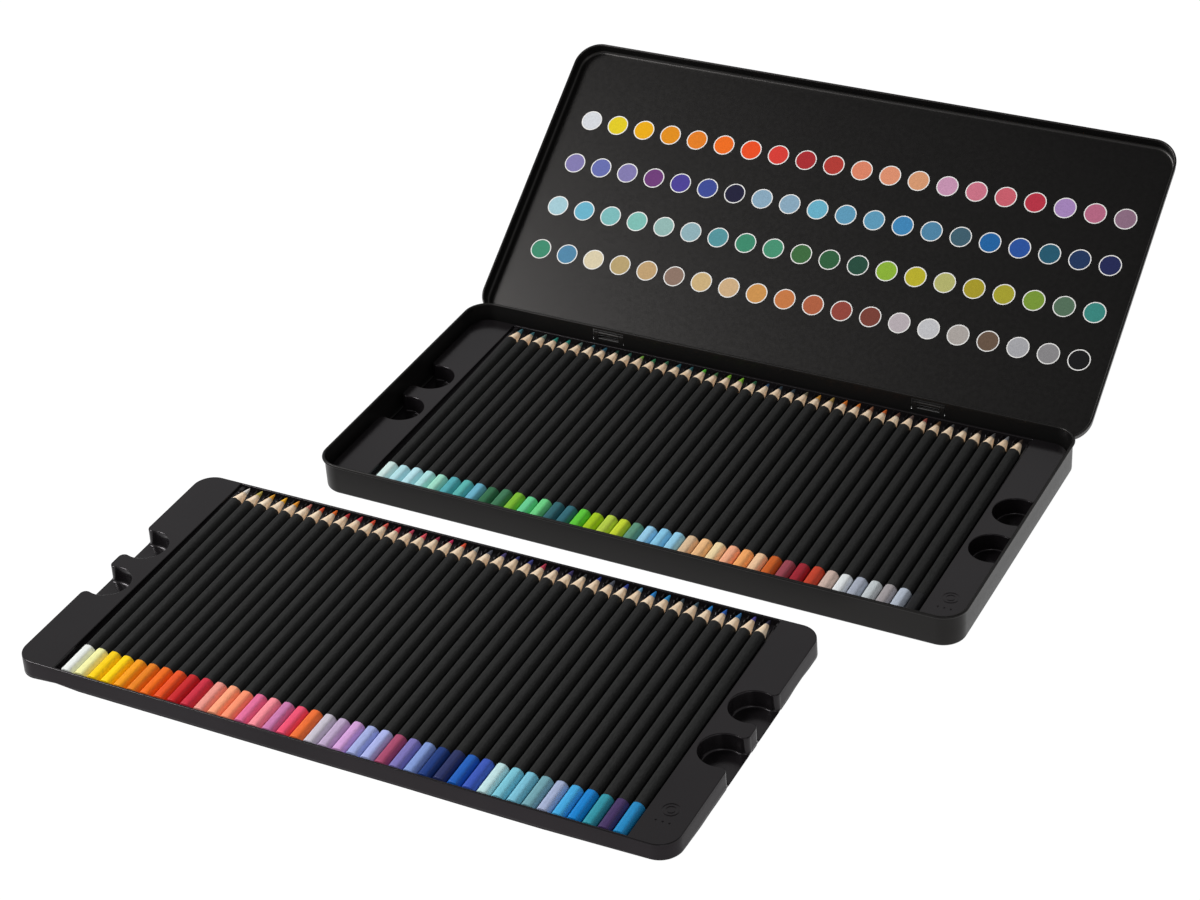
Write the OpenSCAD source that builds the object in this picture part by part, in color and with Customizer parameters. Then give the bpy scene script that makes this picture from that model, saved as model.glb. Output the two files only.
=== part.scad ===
// Flat hinged pencil tin with two lift-out trays of coloured pencils.
// Millimetres. X runs along the width, Y from the front to the hinge, Z up.
// The origin is the centre of the underside of the tin.
// It is drawn with the lid open on its stop and one tray lifted out
// and laid on the table in front of the tin.

/* [Tin] */
// Width of the tin over its rolled rim
tin_w = 388; // [386:0.5:392]
// Depth of the tin over its rolled rim
tin_d = 191; // [190.5:0.5:194]
// Height of the tin to the top of its rim
tin_h = 20; // [20:0.5:22]
// Thickness of the sheet steel
sheet_t = 0.5; // [0.4:0.05:0.6]
// Radius of the upright corners, outside the wall
corner_r = 13; // [12:0.5:15]
// Radius of the bend between wall and floor
bend_r = 1.5; // [1:0.25:1.5]

/* [Lid] */
// Angle of the open lid, measured from closed
lid_open = 145.6; // [120:0.1:150]
// Gap between the tin's rim and the lid's wall
lid_gap = 0.3; // [0.25:0.05:0.6]
// Height of the lid's edge above the hinge pin, closed
lid_edge = 2.5; // [2:0.25:3.5]
// Height of the inside of the lid's panel above the hinge pin, closed
lid_top = 10; // [9.5:0.25:13]
// Radius of the bend round the lid's panel
lid_bend_r = 2.5; // [2:0.25:3]

/* [Hinge] */
// Height of the hinge pin below the tin's rim
pin_drop = 5; // [5:0.25:6]
// Radius of the hinge pin
pin_r = 0.8; // [0.6:0.05:0.9]
// Radial clearance of the lid's curls on the pin
pin_gap = 0.06; // [0.03:0.01:0.1]
// Distance of each hinge from the middle of the tin
hinge_x = 102.6; // [90:0.1:120]

/* [Trays] */
// Width of a tray
tray_w = 381.5; // [380.5:0.25:381.5]
// Depth of a tray
tray_d = 183.5; // [183:0.25:183.5]
// Height of a tray
tray_h = 10.6; // [10.5:0.1:11]
// Thickness of the formed plastic sheet
tray_t = 0.5; // [0.4:0.05:0.7]
// Left edge of the grooved well, from the middle of the tray
well_left = 165.3; // [164:0.1:166]
// Right edge of the grooved well, from the middle of the tray
well_right = 166.7; // [166.2:0.1:168]
// Half depth of the grooved well
well_y = 90; // [89.8:0.1:90.4]
// Radius of a finger pocket
pocket_r = 12.5; // [11:0.5:13]
// Left-right place of the tray on the table
loose_x = -61.95; // [-80:0.05:0]
// Front-back place of the tray on the table
loose_y = -208.8; // [-230:0.05:-200]
// Turn of the tray on the table
loose_turn = 0.3; // [-1:0.1:1]
// Left-right place of the tray in the tin
seat_x = 0.4; // [-0.4:0.1:0.4]
// Front-back place of the tray in the tin
seat_y = -0.9; // [-0.9:0.1:0.9]

/* [Pencils] */
// Distance between neighbouring pencils
pitch = 8.2; // [8.15:0.01:8.22]
// Middle of the row of pencils, from the middle of the tray
row_x = 1.6; // [0:0.1:2.1]
// Width across the flats of a pencil
flats = 6.9; // [6.6:0.05:7]
// Length of a pencil
pencil_l = 178; // [174:0.5:178]
// How much lower the dipped ends lie than the tips
tail_drop = 2.6; // [0:0.1:2.7]
// Length of the sharpened cone, from the tip to the corners of the hexagon
cone_l = 15.6; // [14:0.2:22]
// Radius of the colour core
core_r = 1.75; // [1.2:0.05:2]
// Length of the dipped colour end
dip_l = 21.6; // [10:0.2:24]
// Thickness of the dip
dip_t = 0.12; // [0.08:0.01:0.15]

/* [Colour chart] */
// Distance between dots along a row
dot_x = 18.3; // [17.5:0.1:18.5]
// Distance between rows
dot_y = 30.7; // [28:0.1:31]
// Left-right place of the middle of the chart
chart_x = 1.5; // [-2:0.1:2]
// Distance of the middle of the chart from the hinge pin
chart_y = 95.9; // [94:0.1:98]
// Radius of a dot
dot_r = 6.1; // [5:0.1:6.5]
// Width of the white line round a dot
ring_w = 0.65; // [0.4:0.05:1]

/* [Hidden] */

count = 40;                             // pencils in a tray
rim_r = 0.9;                            // rolled rim of the tin
rim_out = 1.3;                          // rim beyond the wall
wall_w = tin_w - 2 * rim_out;           // outside of the tin's wall
wall_d = tin_d - 2 * rim_out;
pin_y = tin_d / 2 - 0.2;                // hinge axis
pin_z = tin_h - pin_drop;
lid_in_w = tin_w + 2 * lid_gap;         // inside of the lid's wall
lid_in_d = tin_d + 2 * lid_gap;
lid_w = lid_in_w + 2 * sheet_t;         // outside of the lid's wall
lid_d = lid_in_d + 2 * sheet_t;
lid_r = corner_r + rim_out + lid_gap + sheet_t;
edge_r = 0.75;                          // rolled edge of the lid
edge_z = pin_z + lid_edge + edge_r;     // its centre, closed
edge_dy = lid_d / 2 - sheet_t + edge_r - pin_y;
edge_dz = edge_z - pin_z;
panel_z = pin_z + lid_top;              // inside of the lid's panel, closed
// innermost point of the lid's rolled edge when the lid is open
stop_y = pin_y + edge_dy * cos(lid_open) + edge_dz * sin(lid_open) - edge_r - 0.03;
stop_z = pin_z - edge_dy * sin(lid_open) + edge_dz * cos(lid_open);
curl_r = 1.4;                           // outside of the curls round the pin
window_x = 20.6;                        // window in the tin's back wall
window_z0 = tin_h - 9.6;
window_z1 = tin_h - 1.8;
axis_z = tray_h - 0.5;                  // pencil axis above the tray's foot, at the tip
groove_z = axis_z - flats / 2 - 0.2;    // bottom of a groove
groove_x = 2.1;                         // half width of the groove's bottom
ridge_x = 3.75;                         // where the groove's side meets the ridge
ridge_z = groove_z + (ridge_x - groove_x) * tan(60);
web_t = 0.6;                            // upright thickness of the grooved floor
tail_y = -89.3;                         // rounded end of each pencil
lean = tail_drop / pencil_l;            // slope of the pencils and the grooves
pocket_x = 182.2;                       // finger pockets
pocket_y = [20.2, -16.0];
mouth = 11.9;                           // half width of a pocket's mouth
lip_r = 3;                              // rounding at the mouth
dip_r = 3.78 + dip_t;

// ---- shared shapes ----

// rectangle with round corners, centred
module rounded(w, d, r) {
    square([w - 2 * r, d], center = true);
    square([w, d - 2 * r], center = true);
    for (x = [-1, 1], y = [-1, 1])
        translate([x * (w / 2 - r), y * (d / 2 - r)]) circle(r = r, $fn = 96);
}

// a section (x outward from the wall, y up) carried round a rounded rectangle
module carried(w, d, r) {
    for (k = [0, 1]) {
        rotate([0, 0, 180 * k]) {
            translate([w / 2, 0, 0]) rotate([90, 0, 0])
                linear_extrude(height = d - 2 * r, center = true) children();
            rotate([0, 0, 90]) translate([d / 2, 0, 0]) rotate([90, 0, 0])
                linear_extrude(height = w - 2 * r, center = true) children();
            translate([w / 2 - r, d / 2 - r, 0])
                rotate_extrude(angle = 90, $fn = 96) translate([r, 0]) children();
            translate([-w / 2 + r, d / 2 - r, 0]) rotate([0, 0, 90])
                rotate_extrude(angle = 90, $fn = 96) translate([r, 0]) children();
        }
    }
}

// quarter bend of the sheet, outer radius r, from the floor up to the wall
module bend(r, up) {
    translate([-r, 0]) intersection() {
        difference() {
            circle(r = r, $fn = 64);
            circle(r = r - sheet_t, $fn = 64);
        }
        translate([0, up > 0 ? 0 : -r]) square(r);
    }
}

// a curl of sheet round the pin, along X
module curl(len, hole) {
    difference() {
        children();
        translate([0, pin_y, pin_z]) rotate([0, 90, 0])
            cylinder(r = hole, h = len + 2, center = true, $fn = 48);
    }
}

// ---- tin ----

module base_section() {
    translate([-sheet_t, bend_r]) square([sheet_t, tin_h - rim_r - bend_r]);
    translate([0, bend_r]) bend(bend_r, -1);
    translate([rim_out - rim_r, tin_h - rim_r]) circle(r = rim_r, $fn = 48);
}

// the two curls that the tin's back wall has at each window, the strip they rise from,
// and the stop on them
module tin_curls() {
    curl(24, pin_r + 0.01) {
        translate([-8.4, pin_y - curl_r - 0.1, window_z0 - 0.6])
            cube([16.8, sheet_t + 0.1, 2.1]);
        for (s = [-1, 1]) translate([s * 8.4, 0, 0]) {
            translate([-1.5, pin_y - curl_r - 0.1, window_z0 - 0.6])
                cube([3, sheet_t + 0.1, pin_z - window_z0 + 0.6]);
            translate([-1.5, pin_y - curl_r, stop_z - 0.6])
                cube([3, stop_y - pin_y + curl_r, 1.2]);
            translate([-1.5, pin_y, pin_z]) rotate([0, 90, 0])
                cylinder(r = curl_r, h = 3, $fn = 48);
        }
    }
}

module base_pan() {
    color("#2b292b") {
        difference() {
            union() {
                linear_extrude(height = sheet_t)
                    rounded(wall_w - 2 * bend_r, wall_d - 2 * bend_r, corner_r - bend_r);
                carried(wall_w, wall_d, corner_r) base_section();
            }
            for (s = [-1, 1])
                translate([s * hinge_x - window_x / 2, wall_d / 2 - 2, window_z0])
                    cube([window_x, 3, window_z1 - window_z0]);
        }
        for (s = [-1, 1]) translate([s * hinge_x, 0, 0]) tin_curls();
    }
}

module hinge_pin() {
    color("#8c8c90")
        translate([0, pin_y, pin_z]) rotate([0, 90, 0])
            cylinder(r = pin_r, h = 19.6, center = true, $fn = 48);
}
module hinge_pin_left() { translate([-hinge_x, 0, 0]) hinge_pin(); }
module hinge_pin_right() { translate([hinge_x, 0, 0]) hinge_pin(); }

// ---- lid ----

module lid_section() {
    translate([-sheet_t, edge_z]) square([sheet_t, panel_z + sheet_t - lid_bend_r - edge_z]);
    translate([0, panel_z + sheet_t - lid_bend_r]) bend(lid_bend_r, 1);
    translate([-sheet_t + edge_r, edge_z]) circle(r = edge_r, $fn = 48);
}

// turns what is drawn closed to the open pose
module opened() {
    translate([0, pin_y, pin_z]) rotate([-lid_open, 0, 0])
        translate([0, -pin_y, -pin_z]) children();
}

// tongue of the lid's back wall, curled round the pin
module lid_tongue() {
    curl(13.2, pin_r + pin_gap) {
        translate([-6.6, lid_in_d / 2, pin_z])
            cube([13.2, sheet_t, edge_z + 1 - pin_z]);
        translate([0, pin_y, pin_z]) rotate([0, 90, 0])
            cylinder(r = curl_r, h = 13.2, center = true, $fn = 48);
    }
}

module lid_pan() {
    color("#333131") opened() {
        translate([0, 0, panel_z]) linear_extrude(height = sheet_t)
            rounded(lid_w - 2 * lid_bend_r, lid_d - 2 * lid_bend_r, lid_r - lid_bend_r);
        carried(lid_w, lid_d, lid_r) lid_section();
        for (s = [-1, 1]) translate([s * hinge_x, 0, 0]) lid_tongue();
    }
}

// ---- printed colour chart inside the lid ----

dot_t = 0.05;
module at_dot(i, j) {
    translate([chart_x + (i - 9.5) * dot_x, pin_y - chart_y - (1.5 - j) * dot_y, panel_z - dot_t])
        children();
}
module dot_row(j) {
    opened() for (i = [0:19]) at_dot(i, j)
        cylinder(r = dot_r, h = dot_t, $fn = 64);
}
module chart_rings() {
    color("white") opened() for (i = [0:19], j = [0:3]) at_dot(i, j) difference() {
        cylinder(r = dot_r + ring_w, h = dot_t, $fn = 64);
        translate([0, 0, -1]) cylinder(r = dot_r + 0.02, h = 2, $fn = 64);
    }
}
module chart_dots_row_1() { color("#e0693c") dot_row(0); }
module chart_dots_row_2() { color("#4a5fa8") dot_row(1); }
module chart_dots_row_3() { color("#58a070") dot_row(2); }
module chart_dots_row_4() { color("#9a8468") dot_row(3); }

// ---- trays ----

// outline of a finger pocket that opens at the tray's end, grown by g
module pocket(g) {
    circle(r = pocket_r + g, $fn = 96);
    translate([0, -mouth - g]) square([14, 2 * (mouth + g)]);
    difference() {
        translate([tray_w / 2 - pocket_x - lip_r, -mouth - lip_r])
            square([lip_r + 3, 2 * (mouth + lip_r)]);
        for (s = [-1, 1])
            translate([tray_w / 2 - pocket_x - lip_r, s * (mouth + lip_r)])
                circle(r = lip_r - g, $fn = 48);
    }
}

module at_pockets() {
    for (s = [0, 1], y = pocket_y)
        mirror([s, 0, 0]) translate([pocket_x, y]) children();
}

// grooves side by side, as points of the floor's section
function grooves() = [for (i = [0:count - 1], k = [0:3])
    let (x = row_x + (i - (count - 1) / 2) * pitch)
        [x + [-ridge_x, -groove_x, groove_x, ridge_x][k],
         [ridge_z, groove_z, groove_z, ridge_z][k]]];
function lowered(p) = [for (k = [len(p) - 1:-1:0]) [p[k][0], p[k][1] - web_t]];

module along_well(y) {
    translate([0, y, 0]) rotate([90, 0, 0]) linear_extrude(height = 2 * y) children();
}

// tilts what is drawn level down toward the dipped ends
module leaning() {
    multmatrix([[1, 0, 0, 0], [0, 1, 0, 0], [0, lean, 1, -lean * (tail_y + pencil_l)], [0, 0, 0, 1]])
        children();
}

module tray() {
    difference() {
        union() {
            difference() {
                linear_extrude(height = tray_h) rounded(tray_w, tray_d, 12);
                translate([0, 0, -1]) linear_extrude(height = tray_h + 1 - tray_t)
                    rounded(tray_w - 2 * tray_t, tray_d - 2 * tray_t, 12 - tray_t);
            }
            linear_extrude(height = tray_h) intersection() {
                at_pockets() pocket(tray_t);
                rounded(tray_w, tray_d, 12);
            }
            intersection() {
                translate([-well_left - tray_t, -well_y - tray_t, 0])
                    cube([well_left + well_right + 2 * tray_t, 2 * (well_y + tray_t), tray_h]);
                leaning() translate([-tray_w / 2, -tray_d / 2, groove_z - web_t - 0.1])
                    cube([tray_w, tray_d, tray_h]);
            }
        }
        // the well over the grooves
        leaning() along_well(well_y) polygon(concat(
            [[well_right, ridge_z], [well_right, tray_h + 5], [-well_left, tray_h + 5], [-well_left, ridge_z]],
            grooves()));
        // the hollow under them
        leaning() along_well(well_y) polygon(concat(
            [[-well_left, ridge_z - web_t], [-well_left, -5], [well_right, -5], [well_right, ridge_z - web_t]],
            lowered(grooves())));
        // the finger pockets
        translate([0, 0, tray_t]) linear_extrude(height = tray_h) at_pockets() pocket(0);
    }
}

module in_tin() { translate([seat_x, seat_y, sheet_t]) children(); }
module on_table() { translate([loose_x, loose_y, 0]) rotate([0, 0, loose_turn]) children(); }

module lower_tray() { color("#262425") in_tin() tray(); }
module upper_tray() { color("#2e2c2c") on_table() tray(); }

// ---- pencils ----

// hexagon with a flat facing up once the pencil lies along Y
module hexagon(across) { circle(r = across / 2 / cos(30), $fn = 6); }

// radius of the sharpened cone at a distance s from the tip
function cone_at(s) = 0.45 + s * (flats / 2 / cos(30) - 0.45) / cone_l;

module barrel() {
    difference() {
        intersection() {
            linear_extrude(height = pencil_l) hexagon(flats);
            rotate_extrude($fn = 64) polygon([
                [0, 0], [3.5, 0], [3.78, 0.28],
                [3.78, pencil_l - (3.78 - 0.45) / (cone_at(1) - 0.45)],
                [cone_at(4.8), pencil_l - 4.8], [0, pencil_l - 4.8]]);
        }
        translate([0, 0, -1]) cylinder(r = core_r - 0.25, h = pencil_l + 2, $fn = 48);
    }
}
module core() {
    r = core_r - 0.26;
    cylinder(r = r, h = pencil_l - 4.79, $fn = 48);
    translate([0, 0, pencil_l - 4.79])
        cylinder(r1 = cone_at(4.79), r2 = 0.45, h = 4.79, $fn = 48);
}
module dip() {
    difference() {
        intersection() {
            translate([0, 0, -dip_t]) linear_extrude(height = dip_l) hexagon(flats + 2 * dip_t);
            translate([0, 0, -dip_t]) cylinder(r = dip_r, h = dip_l, $fn = 64);
        }
        intersection() {
            linear_extrude(height = dip_l) hexagon(flats + 0.02);
            cylinder(r = 3.79, h = dip_l, $fn = 64);
        }
    }
}

// the children laid in the grooves a to b of a tray
module laid(a, b) {
    for (i = [a:b])
        translate([row_x + (i - (count + 1) / 2) * pitch, tail_y, axis_z - tail_drop])
            rotate([-90 + asin(lean), 0, 0]) children();
}
wood = "#262626";

module yellow_pencil_barrels() { color(wood) on_table() laid(1, 5) barrel(); }
module yellow_pencil_cores() { color("#f0c23c") on_table() laid(1, 5) core(); }
module yellow_pencil_dips() { color("#f2cf55") on_table() laid(1, 5) dip(); }
module red_pencil_barrels() { color(wood) on_table() laid(6, 10) barrel(); }
module red_pencil_cores() { color("#dd4a33") on_table() laid(6, 10) core(); }
module red_pencil_dips() { color("#d8482f") on_table() laid(6, 10) dip(); }
module pink_pencil_barrels() { color(wood) on_table() laid(11, 18) barrel(); }
module pink_pencil_cores() { color("#e58f98") on_table() laid(11, 18) core(); }
module pink_pencil_dips() { color("#e79aa0") on_table() laid(11, 18) dip(); }
module violet_pencil_barrels() { color(wood) on_table() laid(19, 26) barrel(); }
module violet_pencil_cores() { color("#8a7ab8") on_table() laid(19, 26) core(); }
module violet_pencil_dips() { color("#8e80bd") on_table() laid(19, 26) dip(); }
module navy_pencil_barrels() { color(wood) on_table() laid(27, 30) barrel(); }
module navy_pencil_cores() { color("#2d3f8c") on_table() laid(27, 30) core(); }
module navy_pencil_dips() { color("#2c3c86") on_table() laid(27, 30) dip(); }
module blue_pencil_barrels() { color(wood) on_table() laid(31, 40) barrel(); }
module blue_pencil_cores() { color("#3f93c9") on_table() laid(31, 40) core(); }
module blue_pencil_dips() { color("#4397c8") on_table() laid(31, 40) dip(); }
module aqua_pencil_barrels() { color(wood) in_tin() laid(1, 8) barrel(); }
module aqua_pencil_cores() { color("#8fd0cf") in_tin() laid(1, 8) core(); }
module aqua_pencil_dips() { color("#98d6d4") in_tin() laid(1, 8) dip(); }
module green_pencil_barrels() { color(wood) in_tin() laid(9, 15) barrel(); }
module green_pencil_cores() { color("#2f8560") in_tin() laid(9, 15) core(); }
module green_pencil_dips() { color("#2e7f5c") in_tin() laid(9, 15) dip(); }
module lime_pencil_barrels() { color(wood) in_tin() laid(16, 20) barrel(); }
module lime_pencil_cores() { color("#9cbf3f") in_tin() laid(16, 20) core(); }
module lime_pencil_dips() { color("#a3c545") in_tin() laid(16, 20) dip(); }
module sky_pencil_barrels() { color(wood) in_tin() laid(21, 23) barrel(); }
module sky_pencil_cores() { color("#93bbdc") in_tin() laid(21, 23) core(); }
module sky_pencil_dips() { color("#9ac0df") in_tin() laid(21, 23) dip(); }
module cream_pencil_barrels() { color(wood) in_tin() laid(24, 29) barrel(); }
module cream_pencil_cores() { color("#e6bd98") in_tin() laid(24, 29) core(); }
module cream_pencil_dips() { color("#e9c39f") in_tin() laid(24, 29) dip(); }
module brown_pencil_barrels() { color(wood) in_tin() laid(30, 33) barrel(); }
module brown_pencil_cores() { color("#a24a33") in_tin() laid(30, 33) core(); }
module brown_pencil_dips() { color("#a04a34") in_tin() laid(30, 33) dip(); }
module grey_pencil_barrels() { color(wood) in_tin() laid(34, 39) barrel(); }
module grey_pencil_cores() { color("#b0aeac") in_tin() laid(34, 39) core(); }
module grey_pencil_dips() { color("#b6b4b2") in_tin() laid(34, 39) dip(); }
module black_pencil_barrel() { color(wood) in_tin() laid(40, 40) barrel(); }
module black_pencil_core() { color("#1c1c1e") in_tin() laid(40, 40) core(); }
module black_pencil_dip() { color("#18181a") in_tin() laid(40, 40) dip(); }

base_pan();
lid_pan();
hinge_pin_left();
hinge_pin_right();
lower_tray();
upper_tray();
yellow_pencil_barrels();
yellow_pencil_cores();
yellow_pencil_dips();
red_pencil_barrels();
red_pencil_cores();
red_pencil_dips();
pink_pencil_barrels();
pink_pencil_cores();
pink_pencil_dips();
violet_pencil_barrels();
violet_pencil_cores();
violet_pencil_dips();
navy_pencil_barrels();
navy_pencil_cores();
navy_pencil_dips();
blue_pencil_barrels();
blue_pencil_cores();
blue_pencil_dips();
aqua_pencil_barrels();
aqua_pencil_cores();
aqua_pencil_dips();
green_pencil_barrels();
green_pencil_cores();
green_pencil_dips();
lime_pencil_barrels();
lime_pencil_cores();
lime_pencil_dips();
sky_pencil_barrels();
sky_pencil_cores();
sky_pencil_dips();
cream_pencil_barrels();
cream_pencil_cores();
cream_pencil_dips();
brown_pencil_barrels();
brown_pencil_cores();
brown_pencil_dips();
grey_pencil_barrels();
grey_pencil_cores();
grey_pencil_dips();
black_pencil_barrel();
black_pencil_core();
black_pencil_dip();
chart_rings();
chart_dots_row_1();
chart_dots_row_2();
chart_dots_row_3();
chart_dots_row_4();
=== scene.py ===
# Looks of the flat hinged pencil tin: lacquered steel pans, formed plastic trays,
# eighty sharpened hexagonal pencils and the printed colour chart in the lid.
# Sizes below are millimetres in the frame of the tin; meshes are written in metres.
import math
import random

import bpy
import bmesh
from mathutils import Matrix, Vector
from mathutils.geometry import delaunay_2d_cdt


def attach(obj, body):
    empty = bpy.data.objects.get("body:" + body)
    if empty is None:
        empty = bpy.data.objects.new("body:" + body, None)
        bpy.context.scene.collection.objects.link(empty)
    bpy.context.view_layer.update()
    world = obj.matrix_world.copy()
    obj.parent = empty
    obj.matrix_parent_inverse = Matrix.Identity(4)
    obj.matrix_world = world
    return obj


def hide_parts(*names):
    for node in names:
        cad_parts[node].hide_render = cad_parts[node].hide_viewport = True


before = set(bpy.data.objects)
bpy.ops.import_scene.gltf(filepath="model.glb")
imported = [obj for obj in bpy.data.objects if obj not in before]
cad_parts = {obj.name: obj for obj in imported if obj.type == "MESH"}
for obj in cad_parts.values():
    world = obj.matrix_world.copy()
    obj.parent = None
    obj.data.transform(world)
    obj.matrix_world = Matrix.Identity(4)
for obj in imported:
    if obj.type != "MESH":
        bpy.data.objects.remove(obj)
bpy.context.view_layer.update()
scene = bpy.context.scene
scene.view_settings.view_transform = "Standard"
scene.view_settings.look = "None"
MM = 0.001

# ---------------------------------------------------------------- sizes ----
TIN_W, TIN_D, TIN_H = 388.0, 191.0, 20.0
SHEET = 0.5
RIM_R, RIM_OUT = 0.9, 1.3
WALL_W, WALL_D, CORNER_R = TIN_W - 2.6, TIN_D - 2.6, 13.0
PIN_Y, PIN_Z = TIN_D / 2 - 0.2, TIN_H - 5.0
HINGE_X = 102.6
WIN_X, WIN_Z0, WIN_Z1 = 20.6, TIN_H - 9.6, TIN_H - 1.8
LID_W, LID_D, LID_R = TIN_W + 1.6, TIN_D + 1.6, CORNER_R + 2.1
LID_OPEN = math.radians(145.6)
EDGE_R, EDGE_Z, PANEL_Z = 0.75, 18.25, 25.0
TRAY_W, TRAY_D, TRAY_H = 381.5, 183.5, 10.6
PITCH, ROW_X, COUNT = 8.2, 1.6, 40
FLATS, PENCIL_L, TAIL_Y, AXIS_Z = 6.9, 178.0, -89.3, 10.1
LEAN = 2.6 / PENCIL_L
CONE_K = (3.78 - 0.45) / 15.6


# ------------------------------------------------------------ mesh tools ----
class Mesh:
    """Vertices in millimetres, faces with a material number, and edges kept sharp."""

    def __init__(self):
        self.v, self.f, self.m, self.sharp = [], [], [], set()

    def ring(self, points):
        n = len(self.v)
        self.v.extend(points)
        return list(range(n, n + len(points)))

    def face(self, ids, mat=0):
        self.f.append(tuple(ids))
        self.m.append(mat)

    def strip(self, a, b, mat=0, closed=True):
        n = len(a)
        for i in range(n if closed else n - 1):
            j = (i + 1) % n
            self.face((a[i], a[j], b[j], b[i]), mat)

    def keep_sharp(self, ids, closed=True):
        n = len(ids)
        for i in range(n if closed else n - 1):
            a, b = ids[i], ids[(i + 1) % n]
            self.sharp.add((min(a, b), max(a, b)))

    def add(self, other, place=lambda p: p, mat=0):
        n = len(self.v)
        self.v.extend(place(p) for p in other.v)
        self.f.extend(tuple(i + n for i in f) for f in other.f)
        self.m.extend(k + mat for k in other.m)
        self.sharp |= {(a + n, b + n) for a, b in other.sharp}

    def build(self, name, mats, angle=None, place=lambda p: p):
        me = bpy.data.meshes.new(name)
        me.from_pydata([[c * MM for c in place(p)] for p in self.v], [], self.f)
        for m in mats:
            me.materials.append(m)
        me.polygons.foreach_set("material_index", self.m)
        me.polygons.foreach_set("use_smooth", [True] * len(self.f))
        me.update()
        if angle is not None:
            me.set_sharp_from_angle(angle=math.radians(angle))
        if self.sharp:
            flag = me.attributes.get("sharp_edge") or me.attributes.new(
                "sharp_edge", "BOOLEAN", "EDGE"
            )
            for e in me.edges:
                a, b = e.vertices
                if (min(a, b), max(a, b)) in self.sharp:
                    flag.data[e.index].value = True
        o = bpy.data.objects.new(name, me)
        scene.collection.objects.link(o)
        return o


def turned_out(o, up=None):
    """Makes the faces of a closed mesh face outward; up tells which way an open one faces."""
    bm = bmesh.new()
    bm.from_mesh(o.data)
    bmesh.ops.recalc_face_normals(bm, faces=bm.faces)
    if up is not None:
        big = max(bm.faces, key=lambda f: f.calc_area() * abs(f.normal.z))
        if (big.normal.z > 0) != up:
            bmesh.ops.reverse_faces(bm, faces=bm.faces)
    bm.to_mesh(o.data)
    bm.free()
    o.data.update()
    return o


def rounded_rect(w, d, r, n=16, cuts=(), along=(9, 5)):
    """Points (x, y, nx, ny) of a rounded rectangle, anticlockwise, with cuts at x on the back side."""
    pts = []
    cx, cy = w / 2 - r, d / 2 - r

    def corner(sx, sy, a0):
        for k in range(n + 1):
            a = math.radians(a0 + 90 * k / n)
            c, s = math.cos(a), math.sin(a)
            pts.append((sx * cx + r * c, sy * cy + r * s, c, s))

    def line(p, q, nx, ny, ts):
        for t in ts:
            pts.append((p[0] + (q[0] - p[0]) * t, p[1] + (q[1] - p[1]) * t, nx, ny))

    even = lambda m: [k / (m + 1) for k in range(1, m + 1)]
    corner(1, 1, 0)
    if cuts:
        for x in sorted(cuts, reverse=True):
            pts.append((x, d / 2, 0, 1))
    else:
        line((cx, d / 2), (-cx, d / 2), 0, 1, even(along[0]))
    corner(-1, 1, 90)
    line((-w / 2, cy), (-w / 2, -cy), -1, 0, even(along[1]))
    corner(-1, -1, 180)
    line((-cx, -d / 2), (cx, -d / 2), 0, -1, even(along[0]))
    corner(1, -1, 270)
    line((w / 2, -cy), (w / 2, cy), 1, 0, even(along[1]))
    return pts


def swept(mesh, outline, profile, mat=0):
    """Rings of the profile (offset outward, z) along the outline, with strips between them."""
    rings = [
        mesh.ring([(x + nx * o, y + ny * o, z) for x, y, nx, ny in outline])
        for o, z in profile
    ]
    for a, b in zip(rings, rings[1:]):
        mesh.strip(a, b, mat)
    return rings


def arc(cx, cz, r, a0, a1, n):
    return [
        (
            cx + r * math.cos(math.radians(a0 + (a1 - a0) * k / n)),
            cz + r * math.sin(math.radians(a0 + (a1 - a0) * k / n)),
        )
        for k in range(n + 1)
    ]


def bar_x(mesh, loop, x0, x1, mat=0):
    """A closed (y, z) loop carried along X from x0 to x1."""
    a = mesh.ring([(x0, y, z) for y, z in loop])
    b = mesh.ring([(x1, y, z) for y, z in loop])
    mesh.strip(a, b, mat)
    mesh.face(a[::-1], mat)
    mesh.face(b, mat)
    mesh.keep_sharp(a)
    mesh.keep_sharp(b)


def opened(p):
    """From the closed lid to the open one."""
    x, y, z = p
    dy, dz = y - PIN_Y, z - PIN_Z
    c, s = math.cos(LID_OPEN), math.sin(LID_OPEN)
    return (x, PIN_Y + dy * c + dz * s, PIN_Z - dy * s + dz * c)


def lean(y):
    """How far the grooves and pencils lie below their height at the tips."""
    return LEAN * (y - 88.7)


def in_tin(p):
    return (p[0] + 0.4, p[1] - 0.9, p[2] + SHEET)


def on_table(p):
    c, s = math.cos(math.radians(0.3)), math.sin(math.radians(0.3))
    return (-61.95 + p[0] * c - p[1] * s, -208.8 + p[0] * s + p[1] * c, p[2])


# -------------------------------------------------------------- materials ----
def linear(h):
    h = h.lstrip("#")
    v = [int(h[i : i + 2], 16) / 255 for i in (0, 2, 4)]
    return [c / 12.92 if c <= 0.04045 else ((c + 0.055) / 1.055) ** 2.4 for c in v]


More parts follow.
